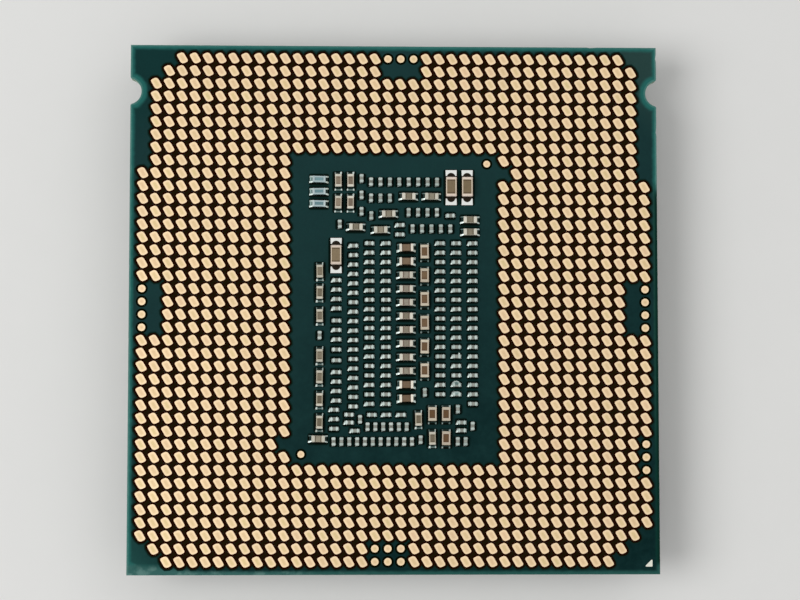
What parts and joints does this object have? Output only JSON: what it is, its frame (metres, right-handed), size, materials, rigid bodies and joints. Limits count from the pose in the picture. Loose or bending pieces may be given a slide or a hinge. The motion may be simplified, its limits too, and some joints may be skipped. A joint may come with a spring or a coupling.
{
  "type": "desktop processor",
  "caption": "Square land grid processor seen from its contact side: green laminate with slanted gold lands around banks of chip capacitors, two key notches and a stepped metal lid.",
  "frame": {"origin": "middle of the heat spreader's outer face, which is the face the processor rests on", "axes": "+Z out of the contact side, +Y to the end with the two key notches, +X to the right as the contact side is seen"},
  "size_m": [0.0376, 0.0376, 0.0049],
  "materials": {
    "laminate_green": "glossy solder mask over the laminate, paler at the edge",
    "gold_land": "satin gold plating",
    "pale_mark": "flat pale ink",
    "solder": "bright solder",
    "tan_ceramic": "satin ceramic body",
    "rose_ceramic": "satin ceramic body",
    "brown_ceramic": "satin ceramic body",
    "blue_ceramic": "satin ceramic body",
    "small_chip": "satin ceramic body with tinned ends",
    "nickel_plate": "satin nickel plating over copper",
    "sealant": "matte cured adhesive",
    "interface_paste": "matte paste",
    "silicon": "polished silicon",
    "underfill": "matte resin around the solder bumps"
  },
  "bodies": {
    "root": {"laminate": "laminate_green", "upper_land_field": "gold_land", "lower_land_field": "gold_land", "left_land_field": "gold_land", "right_land_field": "gold_land", "round_lands": "gold_land", "locating_dots": "gold_land", "first_contact_mark": "pale_mark", "lid_side_mark": "gold_land", "large_capacitors": "tan_ceramic", "large_capacitor_solder": "solder", "wide_capacitors": "brown_ceramic", "blue_chip_parts": "blue_ceramic", "corner_capacitors": "rose_ceramic", "upright_medium_capacitors": "tan_ceramic", "level_medium_capacitors": "tan_ceramic", "spine_capacitors": "rose_ceramic", "brown_spine_capacitors": "brown_ceramic", "left_bank_capacitors": "small_chip", "middle_bank_capacitors": "small_chip", "right_bank_capacitors": "small_chip", "upper_row_capacitors": "small_chip", "lower_row_capacitors": "small_chip", "heat_spreader": "nickel_plate", "lid_sealant": "sealant", "thermal_interface": "interface_paste", "silicon_die": "silicon", "bump_layer": "underfill"}
  },
  "joints": []
}
